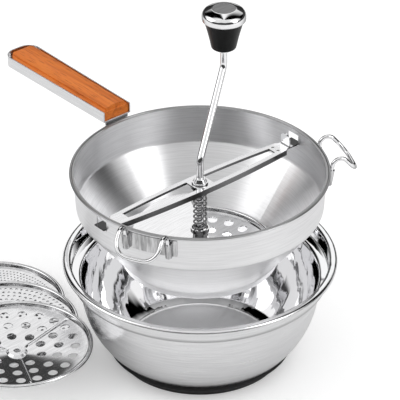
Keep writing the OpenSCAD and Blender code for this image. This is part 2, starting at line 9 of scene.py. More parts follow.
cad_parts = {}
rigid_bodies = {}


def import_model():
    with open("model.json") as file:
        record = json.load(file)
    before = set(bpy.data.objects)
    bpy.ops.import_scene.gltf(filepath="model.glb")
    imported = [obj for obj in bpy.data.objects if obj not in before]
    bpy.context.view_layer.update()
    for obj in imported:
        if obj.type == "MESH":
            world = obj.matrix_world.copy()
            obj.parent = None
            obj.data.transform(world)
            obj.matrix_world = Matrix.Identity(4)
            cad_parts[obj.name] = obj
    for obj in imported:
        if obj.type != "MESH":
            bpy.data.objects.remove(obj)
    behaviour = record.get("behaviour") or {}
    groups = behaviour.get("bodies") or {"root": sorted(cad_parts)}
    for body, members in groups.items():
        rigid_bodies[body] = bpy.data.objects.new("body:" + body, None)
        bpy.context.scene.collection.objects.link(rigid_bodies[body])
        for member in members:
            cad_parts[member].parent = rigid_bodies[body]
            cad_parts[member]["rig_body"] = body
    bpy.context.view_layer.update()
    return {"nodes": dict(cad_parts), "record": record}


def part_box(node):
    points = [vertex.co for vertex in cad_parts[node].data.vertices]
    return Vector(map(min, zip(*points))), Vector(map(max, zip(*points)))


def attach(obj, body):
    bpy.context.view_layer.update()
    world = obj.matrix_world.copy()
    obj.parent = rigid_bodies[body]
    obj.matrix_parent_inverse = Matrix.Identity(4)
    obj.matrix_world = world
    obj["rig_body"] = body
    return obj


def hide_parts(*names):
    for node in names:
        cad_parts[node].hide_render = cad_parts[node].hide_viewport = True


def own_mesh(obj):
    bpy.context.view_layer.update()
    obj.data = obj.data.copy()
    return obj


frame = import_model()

nodes = frame["nodes"]
print("frame loaded:", len(nodes), "nodes")

view = {
    "azimuth": -40.5,         # degrees round the mill, 0 looks along +Y
    "elevation": 31.0,
    "distance": 2.5,          # from the hopper's rim
    "frame": 400,             # pixels, each side
    "scale": 1191.0,          # pixels per metre at the rim
    "rimHeight": 169.5,       # pixels from the frame's top to the rim's centre
    "sensor": 36,             # millimetres
    "farthest": 20,
}


# Turns an object so that its -Z axis looks from a place to a target.
def aimedAt(obj, place, target):
    obj.location = place
    obj.rotation_euler = (Vector(target) - Vector(place)).to_track_quat("-Z", "Y").to_euler()


# The lens is sensor times scale times distance over the frame's pixels. The camera looks at a point
# that lies below the rim by as much as the rim's centre lies above the frame's.
def makeCamera():
    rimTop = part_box("hopper")[1].z
    a, e = math.radians(view["azimuth"]), math.radians(view["elevation"])
    back = Vector((math.sin(a) * math.cos(e), -math.cos(a) * math.cos(e), math.sin(e)))
    camera = bpy.data.objects.new("camera", bpy.data.cameras.new("camera"))
    bpy.context.scene.collection.objects.link(camera)
    drop = (view["frame"] / 2 - view["rimHeight"]) / view["scale"] / math.cos(e)
    aimedAt(camera, Vector((0, 0, rimTop)) + view["distance"] * back, (0, 0, rimTop - drop))
    camera.data.sensor_width = view["sensor"]
    camera.data.lens = view["sensor"] * view["scale"] * view["distance"] / view["frame"]
    camera.data.clip_end = view["farthest"]
    bpy.context.scene.camera = camera


makeCamera()
print("camera set")


# A socket that takes part in sums: each operator adds one Math node.
class Wire:
    def __init__(self, recipe, socket):
        self.recipe, self.socket = recipe, socket

    def math(self, kind, *others):
        return self.recipe.node("ShaderNodeMath", {"operation": kind},
                                dict(enumerate((self,) + others)))

    def __add__(self, other):
        return self.math("ADD", other)

    def __sub__(self, other):
        return self.math("SUBTRACT", other)

    def __mul__(self, other):
        return self.math("MULTIPLY", other)

    def __truediv__(self, other):
        return self.math("DIVIDE", other)

    def __rsub__(self, other):
        return (self * -1) + other

    __radd__ = __add__
    __rmul__ = __mul__

    def power(self, other):
        return self.math("POWER", other)

    def sine(self):
        return self.math("SINE")

    def size(self):
        return self.math("ABSOLUTE")

    # 0 below low, 1 above high, smooth between
    def step(self, low, high):
        return self.recipe.node("ShaderNodeMapRange", {"interpolation_type": "SMOOTHSTEP"},
                                {"Value": self, "From Min": low, "From Max": high})


# A material being mixed: node() is the one way that nodes are added.
class Recipe:
    def __init__(self, name, tree=None):
        self.material = None
        if tree is None:
            self.material = bpy.data.materials.new(name)
            self.material.use_nodes = True
            tree = self.material.node_tree
        self.tree = tree
        self.tree.nodes.clear()

    def node(self, kind, settings=None, inputs=None, output=0):
        made = self.tree.nodes.new(kind)
        for key, value in (settings or {}).items():
            if key == "stops":
                ramp = made.color_ramp
                while len(ramp.elements) < len(value):
                    ramp.elements.new(0.5)
                for element, (place, colour) in zip(ramp.elements, value):
                    element.position, element.color = place, (*colour, 1)
            else:
                setattr(made, key, value)
        for key, value in (inputs or {}).items():
            if isinstance(value, Wire):
                self.tree.links.new(value.socket, made.inputs[key])
            else:
                made.inputs[key].default_value = value
        return Wire(self, made.outputs[output]) if made.outputs else None

    def parts(self, vector):
        made = self.node("ShaderNodeSeparateXYZ", {}, {0: vector}).socket.node
        return [Wire(self, made.outputs[i]) for i in range(3)]

    # colour a where the factor is 0, colour b where it is 1
    def blend(self, factor, a, b):
        return self.node("ShaderNodeMix", {"data_type": "RGBA"}, {0: factor, 6: a, 7: b}, 2)

    # the point on the object, in metres
    def place(self):
        return self.node("ShaderNodeTexCoord", output=3)

    # the way that the surface faces
    def facing(self):
        return self.node("ShaderNodeNewGeometry", output=1)

    def moved(self, vector, **changes):
        return self.node("ShaderNodeMapping", {}, {"Vector": vector, **changes})

    def joined(self, x, y, z):
        return self.node("ShaderNodeCombineXYZ", {}, {0: x, 1: y, 2: z})

    def noise(self, vector, scale, detail=2.0, rough=0.5, distortion=0.0):
        return self.node("ShaderNodeTexNoise", {}, {
            "Vector": vector, "Scale": scale, "Detail": detail, "Roughness": rough,
            "Distortion": distortion})

    def bump(self, height, strength, distance=0.0002):
        return self.node("ShaderNodeBump", {}, {
            "Strength": strength, "Distance": distance, "Height": height})

    # one of the yes-or-no answers on what kind of ray has come
    def ray(self, kind):
        return Wire(self, self.node("ShaderNodeLightPath").socket.node.outputs[kind])

    def principled(self, inputs):
        return self.finish(self.node("ShaderNodeBsdfPrincipled", {}, inputs))

    def finish(self, surface, output="ShaderNodeOutputMaterial"):
        self.node(output, {}, {"Surface": surface})
        return self.material


# Steel is a trace blue.
def grey(level):
    return (level, level, level * 1.01, 1)


steelLook = {
    "contrast": (0.3, 0.7),   # noise at the darkest and at the palest scratches
    "streak": 3,              # how often a scratch ends, round the axis
    "wear": 0.05,             # change of roughness by the wear's clouds
    # grazing range of the painted reflection that darkens outlines
    "outline": (0.35, 0.85),  # grazing view, from no dark edge to the full one
    "level": (0.25, 0.55),    # lean of a face, from upright to level
    "fade": 0.001,            # metres, between a shaded part and its neighbour
    "barDrop": 0.012,         # the bar's top below the hopper's rim
    # tone of the painted reflection at outlines and of the painted shade on upright faces
    "paintedDarkTone": 0.03,            # tone of a dark edge
    # depth and tone of the painted shade on the bar's ends in the wall slots
    "paintedSlotShadeDepth": 0.95,
    "paintedSlotShadeTone": 0.02,
}


# Radius, height and the point's direction on a circle round the Z axis.
def roundCoordinates(recipe, position):
    x, y, z = recipe.parts(position)
    radius = (x * x + y * y).power(0.5) + 1e-5
    return radius, z, x / radius, y / radius


# Scratches left by a lathe: a noise that is squeezed along the radius and the height, and drawn out
# round the axis.
def latheScratch(recipe, radius, height, east, north, grain):
    streak = steelLook["streak"]
    across = recipe.joined(east * streak + radius * grain, north * streak - radius * grain,
                           height * grain)
    return recipe.noise(across, 1.0, 3.0, 0.6)


# Dark where the noise of the scratches is low, pale where it is high.
def scratchTone(recipe, scratch, look):
    return recipe.blend(scratch.step(*steelLook["contrast"]), look["dark"], look["pale"])


# The finish's own roughness, more where scratched and a little more or less in the wear's clouds.
def wornRoughness(scratch, clouds, look):
    wear = steelLook["wear"]
    return scratch * look["scratch"] + clouds * wear + (look["roughness"] - wear / 2)


# Sheet steel finished on a lathe. Its highlight is stretched across the scratches, and a thin line
# of painted shade darkens the top of the hopper's rim.
def spunSteel(name, look):
    r = Recipe(name)
    position = r.place()
    radius, height, east, north = roundCoordinates(r, position)
    scratch = latheScratch(r, radius, height, east, north, look["grain"])
    clouds = r.noise(position, look["clouds"], 2.0)
    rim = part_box("hopper")[1].z
    # painted shade: a thin dark line on the top of the hopper's rim, in the base colour
    line = height.step(rim - look["line"], rim - look["line"] / 2) * look["paintedRimShadeDepth"]
    return r.principled({
        "Base Color": r.blend(line, scratchTone(r, scratch, look), look["rim"]), "Metallic": 1.0,
        "Roughness": wornRoughness(scratch, clouds, look), "Anisotropic": look["stretch"],
        "Anisotropic Rotation": look["turn"], "Normal": r.bump(scratch, look["bump"])})


# Sheet, rod or wire polished along one direction of the piece, with a faint smear of wear. Painted
# light darkens the tone in three ways: by "edge", a painted reflection towards the outline of a
# round piece; by "side", painted shade on upright faces below the bar's top; and past the
# slot-shade distance from the middle, painted shade where the bar lies in its wall slots.
def drawnSteel(name, look):
    r = Recipe(name)
    position = r.place()
    turn = (0, 0, math.radians(look.get("turn", 0)))
    scratch = r.noise(r.moved(position, Scale=look["grain"], Rotation=turn), 1.0, 4.0, 0.6)
    clouds = r.noise(position, look.get("clouds", 30.0), 3.0)
    tone = scratchTone(r, scratch, look)
    paintedDarkTone, fade = grey(steelLook["paintedDarkTone"]), steelLook["fade"]
    x, y, z = r.parts(position)
    # painted reflection: the base colour darkens towards the outline as the view grazes the
    # surface, standing in for the dark surroundings that round polished steel mirrors
    if "edge" in look:
        grazing = r.node("ShaderNodeLayerWeight", {}, {"Blend": 0.5}, 1)
        tone = r.blend(grazing.step(*steelLook["outline"]) * look["edge"], tone, paintedDarkTone)
    # painted shade: upright faces below the bar's top, such as the walls of the bar's channel and
    # the tray's sides, are darkened in the base colour
    if "side" in look:
        upright = 1 - r.parts(r.facing())[2].size().step(*steelLook["level"])
        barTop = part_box("hopper")[1].z - steelLook["barDrop"]
        paintedShadeBelowBarTop = 1 - z.step(barTop, barTop + fade)
        tone = r.blend(upright * paintedShadeBelowBarTop * look["side"], tone, paintedDarkTone)
    # painted shade: the bar's ends, where they lie in the hopper's wall slots, are darkened in the
    # base colour
    if "paintedSlotShadeStart" in look:
        paintedSlotShadeMask = x.size().step(look["paintedSlotShadeStart"], look["paintedSlotShadeStart"] + 2 * fade)
        tone = r.blend(paintedSlotShadeMask * steelLook["paintedSlotShadeDepth"], tone, grey(steelLook["paintedSlotShadeTone"]))
    return r.principled({
        "Base Color": tone, "Metallic": 1.0, "Roughness": wornRoughness(scratch, clouds, look),
        "Normal": r.bump(scratch, look["bump"])})


# The bowl: mirror bright inside, with slow waves round its wall, and satin outside and on its
# floor. The inside is where the surface faces the axis or looks up. Painted shade darkens a narrow
# band under the step, where the crease lies.
def bowlSteel(name, look):
    r = Recipe(name)
    position = r.place()
    radius, height, east, north = roundCoordinates(r, position)
    nx, ny, nz = r.parts(r.facing())
    inside = (nz - (nx * east + ny * north)).step(-look["turnOver"], look["turnOver"])
    scratch = latheScratch(r, radius, height, east, north, look["grain"])
    place = r.joined(east * look["waves"], north * look["waves"], height * look["waves"])
    waves = r.noise(place, 1.0, 1.5)
    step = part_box("receiving_bowl")[1].z - look["step"]
    # painted shade: a narrow dark band on the wall under the step, where the crease lies
    paintedCreaseShade = 1 - ((height - step) / look["paintedCreaseShadeWidth"]).size().step(0.0, 1.0)
    outer = r.blend(paintedCreaseShade * look["paintedCreaseShadeDepth"], scratchTone(r, scratch, look), look["paintedCreaseShade"])
    floor = 1 - radius.step(look["floor"] - look["floorFade"], look["floor"])
    rough = ((scratch * look["scratch"] + look["satin"]) * (1 - inside)
             + inside * (floor * look["floorSatin"] + look["mirror"]))
    relief = waves * inside * look["waveHeight"] + scratch * (1 - inside) * look["scratchHeight"]
    return r.principled({
        "Base Color": r.blend(inside, outer, look["bright"]), "Metallic": 1.0, "Roughness": rough,
        "Normal": r.bump(relief, 1.0, 0.001)})


# Long wavy fibres along Y: a stretched noise gives the bands, a finer one the pores.
def oiledWood(name, look):
    r = Recipe(name)
    position = r.place()
    bands = r.noise(r.moved(position, Scale=look["bands"]), 1.0, 5.0, 0.6, 0.8)
    pores = r.noise(r.moved(position, Scale=look["pores"]), 1.0, 2.0)
    tone = r.node("ShaderNodeValToRGB", {"stops": look["stops"]}, {"Fac": bands})
    tone = r.blend(pores.step(*look["poreEdge"]) * look["poreDepth"], tone, look["pore"])
    return r.principled({
        "Base Color": tone, "Roughness": bands * look["scratch"] + look["roughness"],
        "Normal": r.bump(bands + pores * 0.5, look["bump"], 0.0003),
        "Specular IOR Level": look["shine"], "Coat Weight": look["oil"],
        "Coat Roughness": look["oilRoughness"]})


# Black moulded piece with a faint mottled grain and dust-pale wear.
def mouldedBlack(name, look):
    r = Recipe(name)
    position = r.place()
    grain = r.noise(position, look["grain"], 4.0)
    clouds = r.noise(position, look["clouds"], 2.0)
    return r.principled({
        "Base Color": r.blend(clouds, look["dark"], look["pale"]),
        "Roughness": clouds * look["scratch"] + look["roughness"],
        "Normal": r.bump(grain, look["bump"]), "Specular IOR Level": look["shine"]})


finishes = {
    # rim is the tone of the painted shade line on the top of the hopper's rim
    "hopperSatin": spunSteel("hopperSatin", {
        "grain": 900, "bump": 0.05, "roughness": 0.27, "scratch": 0.06, "stretch": 0.8,
        "turn": 0.25, "clouds": 14.0, "line": 0.0012, "paintedRimShadeDepth": 0.55,
        "dark": grey(0.80), "pale": grey(0.90), "rim": grey(0.08)}),
    # the crease entries give the width, depth and tone of the painted shade under the step
    "bowlSteel": bowlSteel("bowlSteel", {
        "mirror": 0.03, "satin": 0.22, "grain": 700, "scratch": 0.08, "scratchHeight": 0.03,
        "waves": 6.0, "waveHeight": 0.45, "turnOver": 0.05,
        "step": 0.0145, "paintedCreaseShadeWidth": 0.003, "paintedCreaseShadeDepth": 0.6, "paintedCreaseShade": grey(0.2),
        "floor": 0.066, "floorFade": 0.006, "floorSatin": 0.3,
        "dark": grey(0.72), "pale": grey(0.82), "bright": grey(0.93)}),
    # In these finishes, "edge" sets how strongly a painted reflection darkens a round piece's
    # outline, "side" how deep the painted shade is on upright faces below the bar's top, and, for
    # the bar, the slot-shade distance from the middle past which painted shade covers its ends in
    # the wall slots.
    "discSteel": drawnSteel("discSteel", {
        "turn": 20, "grain": (60, 500, 60), "bump": 0.03, "roughness": 0.09, "scratch": 0.04,
        "dark": grey(0.72), "pale": grey(0.86)}),
    "plateSteel": drawnSteel("plateSteel", {
        "grain": (300, 300, 40), "bump": 0.1, "roughness": 0.06, "scratch": 0.05, "edge": 0.6,
        "dark": grey(0.30), "pale": grey(0.70)}),
    "barSteel": drawnSteel("barSteel", {
        "grain": (40, 900, 900), "bump": 0.04, "roughness": 0.10, "scratch": 0.05, "side": 0.85,
        "paintedSlotShadeStart": 0.099, "dark": grey(0.84), "pale": grey(0.94)}),
    "traySteel": drawnSteel("traySteel", {
        "grain": (900, 40, 900), "bump": 0.05, "roughness": 0.16, "scratch": 0.06, "side": 0.15,
        "dark": grey(0.74), "pale": grey(0.84)}),
    "brightRod": drawnSteel("brightRod", {
        "grain": (300, 300, 300), "bump": 0.02, "roughness": 0.05, "scratch": 0.02, "edge": 0.85,
        "dark": grey(0.88), "pale": grey(0.95)}),
    "springWire": drawnSteel("springWire", {
        "grain": (700, 700, 700), "bump": 0.05, "roughness": 0.12, "scratch": 0.05, "edge": 0.95,
        "dark": grey(0.20), "pale": grey(0.38)}),
    "knobInlay": drawnSteel("knobInlay", {
        "grain": (80, 900, 80), "bump": 0.1, "roughness": 0.32, "scratch": 0.1,
        "dark": grey(0.30), "pale": grey(0.42)}),
    "gripWood": oiledWood("gripWood", {
        "bands": (160, 11, 160), "pores": (1500, 70, 1500), "poreEdge": (0.56, 0.70),
        "poreDepth": 0.6, "scratch": 0.15, "roughness": 0.40, "bump": 0.25, "shine": 0.3,
        "oil": 0.06, "oilRoughness": 0.25, "pore": (0.20, 0.045, 0.010, 1), "stops": [
            (0.25, (0.44, 0.100, 0.012)), (0.5, (0.70, 0.175, 0.022)),
            (0.75, (0.80, 0.235, 0.034))]}),
    "knobBlack": mouldedBlack("knobBlack", {
        "grain": 900, "clouds": 40.0, "bump": 0.05, "roughness": 0.30, "scratch": 0.12,
        "shine": 0.16, "dark": grey(0.006), "pale": grey(0.012)}),
    "footSilicone": mouldedBlack("footSilicone", {
        "grain": 1500, "clouds": 40.0, "bump": 0.2, "roughness": 0.5, "scratch": 0.12,
        "shine": 0.2, "dark": grey(0.008), "pale": grey(0.02)}),
}
wornBy = {
    "hopperSatin": ["hopper", "handle_bracket"],
    "bowlSteel": ["receiving_bowl"],
    "discSteel": ["fitted_disc", "spare_disc_fine", "spare_disc_medium", "spare_disc_coarse"],
    "plateSteel": ["hook_plate_left", "hook_plate_right"],
    "barSteel": ["locking_bar", "bar_bushing", "spring_washer", "spring_cup", "blade", "blade_hub",
                 "hub_pin"],
    "traySteel": ["handle_tray", "grip_screws"],
    "brightRod": ["crank_rod", "hook_wire_left", "hook_wire_right", "knob_cap", "knob_collar"],
    "springWire": ["spring"],
    "knobInlay": ["knob_inlay"],
    "gripWood": ["wood_grip"],
    "knobBlack": ["knob_body"],
    "footSilicone": ["silicone_base"],
}


# Puts one finish on all of a piece.
def dress(obj, finish):
    obj.data.materials.clear()
    obj.data.materials.append(finishes[finish])


for finish, names in wornBy.items():
    for name in names:
        dress(nodes[name], finish)
print("finishes mixed:", len(finishes))


mm = 0.001                # metres
meshing = {
    "join": 2e-6,         # metres, between points that are made one
    "axis": 0.001,        # millimetres from its axis where a profile starts, so that it closes
    "sharp": 32,          # degrees, the least turn of a sharp edge
}


# A round piece's radius, foot and top in the CAD, in millimetres.
def roundSize(name):
    low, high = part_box(name)
    return (high.x - low.x) / 2 / mm, low.z / mm, high.z / mm


# Points centre + radius (cos a, sin a), for even steps of a from start to end, in degrees.
def arcPoints(centre, radius, start, end, count):
    a = np.radians(np.linspace(start, end, count))
    return np.stack([centre[0] + radius * np.cos(a), centre[1] + radius * np.sin(a)], 1)


# Points (cos a, sin a) at even steps round a whole circle.
def unitCircle(steps):
    a = np.arange(steps) * math.tau / steps
    return np.stack([np.cos(a), np.sin(a)], 1)


# Points turned about the Z axis: x cos a - y sin a, x sin a + y cos a, with a in radians.
def turnedPoints(points, a):
    x, y = points[..., 0], points[..., 1]
    turned = points.copy()
    turned[..., 0] = x * math.cos(a) - y * math.sin(a)
    turned[..., 1] = x * math.sin(a) + y * math.cos(a)
    return turned


# The path and its copy pushed to the left by the thickness, as one outline there and back.
def foldedSheet(path, thickness):
    step = np.diff(path, axis=0)
    side = np.stack([-step[:, 1], step[:, 0]], 1) / np.linalg.norm(step, axis=1)[:, None]
    both = np.vstack([side[:1] * 2, side[:-1] + side[1:], side[-1:] * 2])
    normal = both / (both ** 2).sum(1)[:, None] * 2
    return np.vstack([path, (path + thickness * normal)[::-1]])


# Four-cornered faces between closed rings of points that lie one after another.
def ringFaces(rings, steps):
    i, j = np.meshgrid(np.arange(rings - 1) * steps, np.arange(steps), indexing="ij")
    k = (j + 1) % steps
    return np.stack([i + j, i + k, i + steps + k, i + steps + j], 2).reshape(-1, 4)


# A profile turned round the Z axis: point (r, z) at angle a lies at (r cos a, r sin a, z).
def turnedGrid(profile, steps):
    east, north = unitCircle(steps).T
    points = np.stack([profile[:, :1] * east, profile[:, :1] * north,
                       np.repeat(profile[:, 1:], steps, 1)], 2).reshape(-1, 3)
    return points, ringFaces(len(profile), steps)


# A tube along a path of points: at each point a circle across the path, whose starting direction
# is the one before made square to the path again.
def sweptTube(path, radius, sides):
    along = np.gradient(path, axis=0)
    along /= np.linalg.norm(along, axis=1)[:, None]
    side = np.cross(along[0], (0.3, 0.5, 0.8))  # any direction that no path starts in
    sideways = []
    for step in along:
        side = side - step * (side @ step)
        side = side / np.linalg.norm(side)
        sideways.append(side)
    sideways = np.array(sideways)
    upward = np.cross(along, sideways)
    c, s = unitCircle(sides).T[:, None, :, None]
    ring = c * sideways[:, None] + s * upward[:, None]
    points = (path[:, None] + radius * ring).reshape(-1, 3)
    last = (len(path) - 1) * sides
    ends = [list(range(sides)), list(range(last, last + sides))]
    return points, ringFaces(len(path), sides).tolist() + ends


# Straight runs between corners, each corner turned through an arc of the given radius.
def bentPath(corners, bend, count=12):
    corners = [np.array(c, float) for c in corners]
    path = [corners[0]]
    for before, corner, after in zip(corners, corners[1:], corners[2:]):
        a = (before - corner) / np.linalg.norm(before - corner)
        b = (after - corner) / np.linalg.norm(after - corner)
        half = math.acos(a @ b) / 2
        middle = corner + (a + b) / np.linalg.norm(a + b) * bend / math.sin(half)
        start = corner + a * bend / math.tan(half) - middle
        end = corner + b * bend / math.tan(half) - middle
        whole = math.pi - 2 * half
        for t in np.linspace(0, whole, count):
            bow = start * math.sin(whole - t) + end * math.sin(t)
            path.append(middle + bow / math.sin(whole))
    return np.array(path + [corners[-1]])


# Puts points and faces into a mesh, joins what meets, and turns every face outwards.
def finishedPiece(name, points, faces, finish, *replaced):
    mesh = bpy.data.meshes.new(name)
    mesh.from_pydata(points.tolist(), [], faces)
    shape = bmesh.new()
    shape.from_mesh(mesh)
    bmesh.ops.remove_doubles(shape, verts=shape.verts, dist=meshing["join"])
    bmesh.ops.recalc_face_normals(shape, faces=shape.faces)
    shape.to_mesh(mesh)
    shape.free()
    mesh.shade_smooth()
    mesh.set_sharp_from_angle(angle=math.radians(meshing["sharp"]))
    obj = bpy.data.objects.new(name, mesh)
    bpy.context.scene.collection.objects.link(obj)
    dress(obj, finish)
    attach(obj, nodes[replaced[0]]["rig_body"])
    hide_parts(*replaced)
    return obj


# A profile in millimetres turned round an upright axis.
def turnedPiece(name, profile, steps, axis, finish, *replaced):
    points, faces = turnedGrid(np.array(profile) * mm, steps)
    return finishedPiece(name, points + [*axis, 0], faces.tolist(), finish, *replaced)


bowlShape = {
    "mouth": 110.5,       # millimetres, inner radius above the step
    "stepDepth": 16,
    "wall": 102.5,        # radius under the step
    "bulge": 16,          # what the wall arc's radius lacks of the bowl's height
    "bulgeDepth": 26,     # of the wall arc's middle below the rim
    "floor": 3,
    "floorFlat": 30,      # radii where the floor's flat ends, and where it starts to rise
    "floorEdge": 60,
    "baseFillet": 10,
    "underStep": 2.6,     # roundings under the step, on it, and up to the flange
    "overStep": 2.4,
    "neck": 2.6,
    "stepDrop": 3,        # from the step down to the middle of the rounding under it
    "sheet": 1,
    "roll": 2,
    "turnSteps": 256,
}


# The wall is one wide arc from the floor's fillet to the step, then the step, a straight collar
# and a rolled flange. An arc is given by its middle, radius, first and last angle and points.
def makeBowl():
    rim, _, height = roundSize("receiving_bowl")
    shape = bowlShape
    sheet, roll, floor, fillet = shape["sheet"], shape["roll"], shape["floor"], shape["baseFillet"]
    under, over, neck = shape["underStep"], shape["overStep"], shape["neck"]
    curve, seat = height - shape["bulge"], height - shape["stepDepth"]
    wall, mouth = shape["wall"], shape["mouth"]
    path = np.vstack([
        [[meshing["axis"], floor], [shape["floorFlat"], floor]],
        arcPoints((shape["floorEdge"], floor + fillet), fillet, -90, -60, 8),
        arcPoints((wall - curve, height - shape["bulgeDepth"]), curve, -53, -2, 48),
        arcPoints((wall + under, seat - shape["stepDrop"]), under, 180, 96, 9),
        arcPoints((mouth - over + sheet, seat + over), over, -86, -4, 9),
        arcPoints((mouth + neck, height - neck), neck - sheet, 175, 90, 8),
        arcPoints((rim - roll - sheet, height - roll - sheet), roll, 90, -20, 12)])
    turnedPiece("bowl_shell", foldedSheet(path, sheet), shape["turnSteps"], (0, 0), "bowlSteel",
                "receiving_bowl")


rodShape = {
    "radius": 3.0,        # millimetres
    "turn": 29,           # degrees from the X axis to the crank's plane
    "reach": 57,
    "lowBend": 9,         # heights above the hopper's rim
    "highBend": 70,
    "bend": 12,
    "sides": 32,
}


# Up from the blade's hub, out to the crank's reach between the two bends, and up into the knob.
def makeRod():
    low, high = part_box("crank_rod")
    rim = roundSize("hopper")[2]
    a = math.radians(rodShape["turn"])
    out = rodShape["reach"] * np.array([math.cos(a), math.sin(a), 0])
    path = bentPath([(0, 0, low.z / mm), (0, 0, rim + rodShape["lowBend"]),
                     out + (0, 0, rim + rodShape["highBend"]), out + (0, 0, high.z / mm)],
                    rodShape["bend"])
    points, faces = sweptTube(path, rodShape["radius"], rodShape["sides"])
    finishedPiece("crank_rod_bar", points * mm, faces, "brightRod", "crank_rod")


hookShape = {
    "wire": 1.75,         # millimetres, radius of the wire
    "spacing": 38,        # between the legs
    "rimRadius": 110.0,   # of the hopper
    "clearance": 0.3,     # from the hopper's rim
    "legTop": 1.5,        # below the rim
    "leg": 17.125,
    "tilt": 10,           # degrees, of the legs
    "slope": 50,          # degrees, of the loop below level
    "arch": 7,
    "archPoints": 16,
    "corner": 13,
    "reach": 23.5,        # outside the rim
    "turns": {"hook_wire_left": 206, "hook_wire_right": -26},
    "sides": 20,
}


# Up one leg, over the rim in an arc from 180 - tilt to 90 - slope degrees, down and out, round the
# loop's two corners, and back the same way on the other side.
def makeHook(name):
    shape = hookShape
    rim, edge = roundSize("hopper")[2], shape["rimRadius"]
    tilt, slope = math.radians(shape["tilt"]), math.radians(shape["slope"])
    half, arch = shape["spacing"] / 2, shape["arch"]
    outside = edge + shape["wire"] + shape["clearance"]
    leg = np.array([math.sqrt(outside ** 2 - half ** 2), rim - shape["legTop"]])
    foot = leg - shape["leg"] * np.array([math.sin(tilt), math.cos(tilt)])
    centre = leg + arch * np.array([math.cos(tilt), -math.sin(tilt)])
    over = np.vstack([foot, arcPoints(centre, arch, 180 - shape["tilt"], 90 - shape["slope"],
                                      shape["archPoints"])])
    run = (edge + shape["reach"] - over[-1, 0]) / math.cos(slope)
    tip = over[-1] + run * np.array([math.cos(slope), -math.sin(slope)])
    near = np.column_stack([over[:, 0], np.full(len(over), half), over[:, 1]])
    far = near[::-1] * (1, -1, 1)
    loop = bentPath([near[-1], (tip[0], half, tip[1]), (tip[0], -half, tip[1]), far[0]],
                    shape["corner"])
    path = turnedPoints(np.vstack([near[:-1], loop, far[1:]]), math.radians(shape["turns"][name]))
    points, faces = sweptTube(path, shape["wire"], shape["sides"])
    finishedPiece(name + "_loop", points * mm, faces, "brightRod", name)


coil = {
    "wire": 0.75,         # millimetres, radius of the wire
    "turns": 8,
    "perTurn": 48,
    "sides": 14,
}


# A helix: at turn t the wire's middle lies at (r cos t, r sin t) and rises evenly.
def makeSpring():
    outer, foot, top = roundSize("spring")
    wire, turns = coil["wire"], coil["turns"]
    radius = outer - wire
    t = np.linspace(0, turns, turns * coil["perTurn"] + 1)
    rise = foot + wire + (top - foot - 2 * wire) * t / turns
    path = np.column_stack([radius * np.cos(t * math.tau), radius * np.sin(t * math.tau), rise])
    points, faces = sweptTube(path, wire, coil["sides"])
    spring = finishedPiece("spring_coil", points * mm, faces, "springWire", "spring")
    low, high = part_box("spring")
    joints = {joint["name"]: joint for joint in frame["record"]["behaviour"]["joints"]}
    travel = max(joints["blade_float"]["range_m"])
    1 - travel / (high.z - low.z)
    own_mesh(spring)


knobShape = {
    "foot": 10.75,        # millimetres, radius
    "footRound": 1.5,
    "footStart": 0.06,    # share of the height where the rounding ends
    "flare": 1.25,
    "capEdge": 1.2,
    "dome": 6,
    "domeRise": 3.6,      # of the dome's middle above the cap's foot
    "domeTurn": 55,       # degrees
    "inlay": 9.6,
    "inlayLip": 1.0,
    "inlayRound": 0.6,
    "inlayDepth": 1,
    "turnSteps": 96,
}


# The body widens by a power of its height; the cap is a rounded band under a shallow cone, with a
# sunk place for the inlay.
def makeKnob():
    shape = knobShape
    low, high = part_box("knob_body")
    axis = ((low.x + high.x) / 2, (low.y + high.y) / 2)
    wide, base, top = roundSize("knob_body")
    foot, edge, start = shape["foot"], shape["footRound"], meshing["axis"]
    t = np.linspace(shape["footStart"], 1, 20)
    side = np.column_stack([foot + (wide - foot) * t ** shape["flare"], base + (top - base) * t])
    body = np.vstack([[[start, base]], arcPoints((foot - edge, base + edge), edge, -90, 0, 7),
                      side[1:], [[start, top]]])
    turnedPiece("knob_grip", body, shape["turnSteps"], axis, "knobBlack", "knob_body")
    radius, base, top = roundSize("knob_cap")
    edge, dome, lip = shape["capEdge"], shape["dome"], shape["inlayRound"]
    inlay, sunk = shape["inlay"], top - shape["inlayDepth"]
    cap = np.vstack([
        [[start, base]], arcPoints((radius - edge, base + edge), edge, -80, 0, 7),
        arcPoints((radius - dome, base + shape["domeRise"]), dome, 0, shape["domeTurn"], 12),
        arcPoints((inlay + shape["inlayLip"], top - lip), lip, 60, 90, 4),
        [[inlay, top], [inlay, sunk], [start, sunk]]])
    turnedPiece("knob_dome", cap, shape["turnSteps"], axis, "brightRod", "knob_cap")


makeBowl()
makeRod()
makeHook("hook_wire_left")
makeHook("hook_wire_right")
makeSpring()
makeKnob()
print("turned and swept pieces made")


